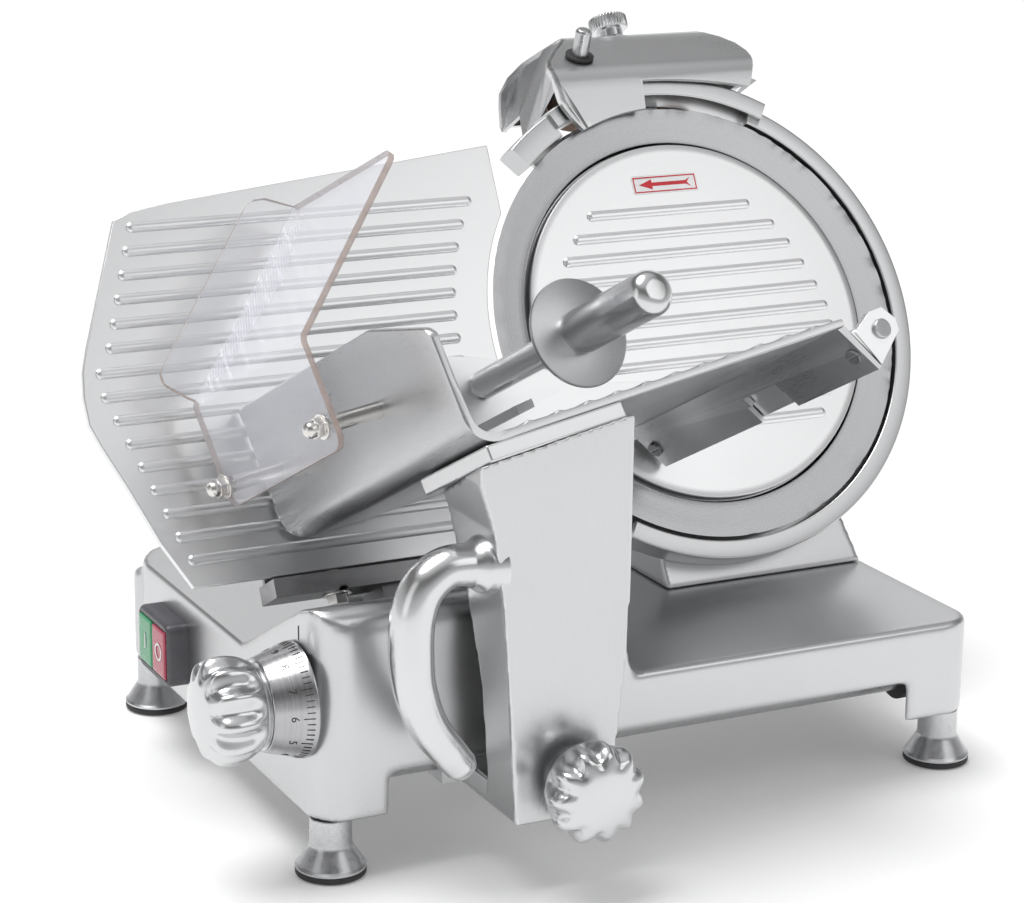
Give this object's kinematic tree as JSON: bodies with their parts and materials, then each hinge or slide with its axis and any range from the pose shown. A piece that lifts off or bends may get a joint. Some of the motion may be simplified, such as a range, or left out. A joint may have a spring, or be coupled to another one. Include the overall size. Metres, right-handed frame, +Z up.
{
  "type": "meat slicer",
  "caption": "Inclined gravity-feed slicer: a round driven blade in a ring guard, a sliding meat tray with pusher and clear guard, an adjustable gauge plate and a blade sharpener.",
  "frame": {"origin": "on the bench, midway between the four feet", "axes": "+X to the right along the carriage's travel, +Y to the back, +Z up"},
  "size_m": [0.5971, 0.4599, 0.4538],
  "materials": {
    "cast_aluminium": "satin anodised casting, fine bead-blasted grain",
    "plate_aluminium": "anodised plate, fine brushed grain",
    "polished_aluminium": "polished knobs and handle",
    "blade_steel": "ground and polished blade steel",
    "brushed_steel": "turned and brushed stainless steel",
    "bright_screws": "bright plated fasteners",
    "dark_steel": "dark plain steel",
    "clear_guard": "clear polycarbonate",
    "foot_rubber": "matt black rubber",
    "black_plastic": "dark moulded plastic",
    "green_button": "green moulded push button",
    "red_button": "red moulded push button",
    "belt_rubber": "ribbed belt rubber",
    "abrasive": "bonded abrasive"
  },
  "bodies": {
    "frame": {"foot_stems": "polished_aluminium", "foot_pads": "foot_rubber", "base_casting": "cast_aluminium", "bottom_plate": "plate_aluminium", "cover_screws": "bright_screws", "slide_rod": "brushed_steel", "guide_bar": "brushed_steel", "rod_supports": "cast_aluminium", "rod_bumpers": "foot_rubber", "switch_box": "black_plastic", "cable_gland": "black_plastic", "knife_tower": "cast_aluminium", "rear_cover": "plate_aluminium", "ring_guard": "cast_aluminium", "bearings": "brushed_steel", "motor_body": "cast_aluminium", "drive_belt": "belt_rubber", "blade_cover": "plate_aluminium", "gauge_guide_rod": "brushed_steel", "sharpener_post": "brushed_steel"},
    "carriage": {"carriage_arm": "cast_aluminium", "arm_cap": "cast_aluminium", "carrier_block": "cast_aluminium", "hand_grip": "polished_aluminium", "meat_tray": "plate_aluminium", "tray_skirt": "plate_aluminium", "skirt_screws": "dark_steel", "rod_bracket": "cast_aluminium", "pusher_guide_rod": "brushed_steel", "clear_guard": "clear_guard", "guard_studs": "bright_screws", "acorn_nuts": "bright_screws"},
    "gauge": {"gauge_plate": "plate_aluminium", "gauge_bracket": "cast_aluminium", "gauge_bolt": "bright_screws"},
    "dial": {"thickness_dial": "brushed_steel", "thickness_knob": "polished_aluminium", "thickness_shaft": "brushed_steel"},
    "knife": {"blade": "blade_steel", "blade_hub": "brushed_steel", "blade_screws": "bright_screws", "blade_pulley": "brushed_steel"},
    "motor_rotor": {"motor_shaft": "brushed_steel", "motor_pulley": "brushed_steel"},
    "pusher_slider": {"pusher_collars": "brushed_steel"},
    "pusher": {"pusher_plate": "plate_aluminium", "pusher_hinge": "cast_aluminium", "pusher_rod": "polished_aluminium", "hand_guard_disc": "plate_aluminium", "pusher_handle": "polished_aluminium"},
    "arm_lock": {"arm_knob": "polished_aluminium"},
    "start": {"start_button": "green_button"},
    "stop": {"stop_button": "red_button"},
    "sharpener": {"sharpener_hood": "cast_aluminium", "button_bush": "black_plastic"},
    "sharpener_lock": {"lock_knob": "polished_aluminium"},
    "sharpener_button": {"push_button": "brushed_steel"},
    "grinding_wheel": {"grinding_stone": "abrasive"},
    "honing_wheel": {"honing_stone": "abrasive"},
    "cover_tie": {"cover_tie_knob": "polished_aluminium"}
  },
  "joints": [
    {"name": "carriage_slide", "type": "slide", "parent": "frame", "child": "carriage", "axis": [1, 0, 0], "range_m": [-0.045, 0.2]},
    {"name": "gauge_slide", "type": "slide", "parent": "frame", "child": "gauge", "axis": [0, 0.8746, -0.4848], "range_m": [0, 0.012]},
    {"name": "dial_turn", "type": "hinge", "parent": "frame", "child": "dial", "pos_m": [-0.2295, -0.14, 0.107], "axis": [-1, 0, 0], "range_deg": [0, 331]},
    {"name": "blade_spin", "type": "hinge", "parent": "frame", "child": "knife", "pos_m": [0.131, 0.03, 0.264], "axis": [0, -0.8746, 0.4848], "continuous": true},
    {"name": "motor_spin", "type": "hinge", "parent": "frame", "child": "motor_rotor", "pos_m": [0.145, 0.01069, 0.14665], "axis": [0, -0.8746, 0.4848], "continuous": true},
    {"name": "pusher_slide", "type": "slide", "parent": "carriage", "child": "pusher_slider", "axis": [0.1444, -0.8655, 0.4797], "range_m": [0, 0.1]},
    {"name": "pusher_swing", "type": "hinge", "parent": "pusher_slider", "child": "pusher", "pos_m": [0.08464, -0.0062, 0.1987], "axis": [-0.1444, 0.8655, -0.4797], "range_deg": [0, 60]},
    {"name": "arm_knob_turn", "type": "hinge", "parent": "carriage", "child": "arm_lock", "pos_m": [-0.0926, -0.228, 0.067], "axis": [0, -1, 0], "range_deg": [0, 720]},
    {"name": "start_press", "type": "slide", "parent": "frame", "child": "start", "axis": [1, 0, 0], "range_m": [0, 0.003], "stiffness_N_per_m": 400},
    {"name": "stop_press", "type": "slide", "parent": "frame", "child": "stop", "axis": [1, 0, 0], "range_m": [0, 0.003], "stiffness_N_per_m": 400},
    {"name": "sharpener_lift", "type": "slide", "parent": "frame", "child": "sharpener", "axis": [0, 0.4848, 0.8746], "range_m": [0, 0.025]},
    {"name": "sharpener_lock_turn", "type": "hinge", "parent": "sharpener", "child": "sharpener_lock", "pos_m": [0.138, 0.17514, 0.43508], "axis": [0, 0.4848, 0.8746], "range_deg": [0, 720]},
    {"name": "sharpener_press", "type": "slide", "parent": "sharpener", "child": "sharpener_button", "axis": [0, 0.316, -0.9488], "range_m": [0, 0.006], "stiffness_N_per_m": 400},
    {"name": "grinding_spin", "type": "hinge", "parent": "sharpener_button", "child": "grinding_wheel", "pos_m": [0.087, 0.12561, 0.42824], "axis": [0, -0.316, 0.9488], "continuous": true},
    {"name": "honing_spin", "type": "hinge", "parent": "sharpener", "child": "honing_wheel", "pos_m": [0.169, 0.12561, 0.42824], "axis": [0, -0.316, 0.9488], "continuous": true},
    {"name": "cover_tie_turn", "type": "hinge", "parent": "frame", "child": "cover_tie", "pos_m": [0.131, 0.03, 0.264], "axis": [0, -0.8746, 0.4848], "range_deg": [0, 720]}
  ],
  "couplings": [
    {"joint": "dial_turn", "follows": "gauge_slide", "rad_per_m": 479.97},
    {"joint": "motor_spin", "follows": "blade_spin", "ratio": 2.2222}
  ]
}
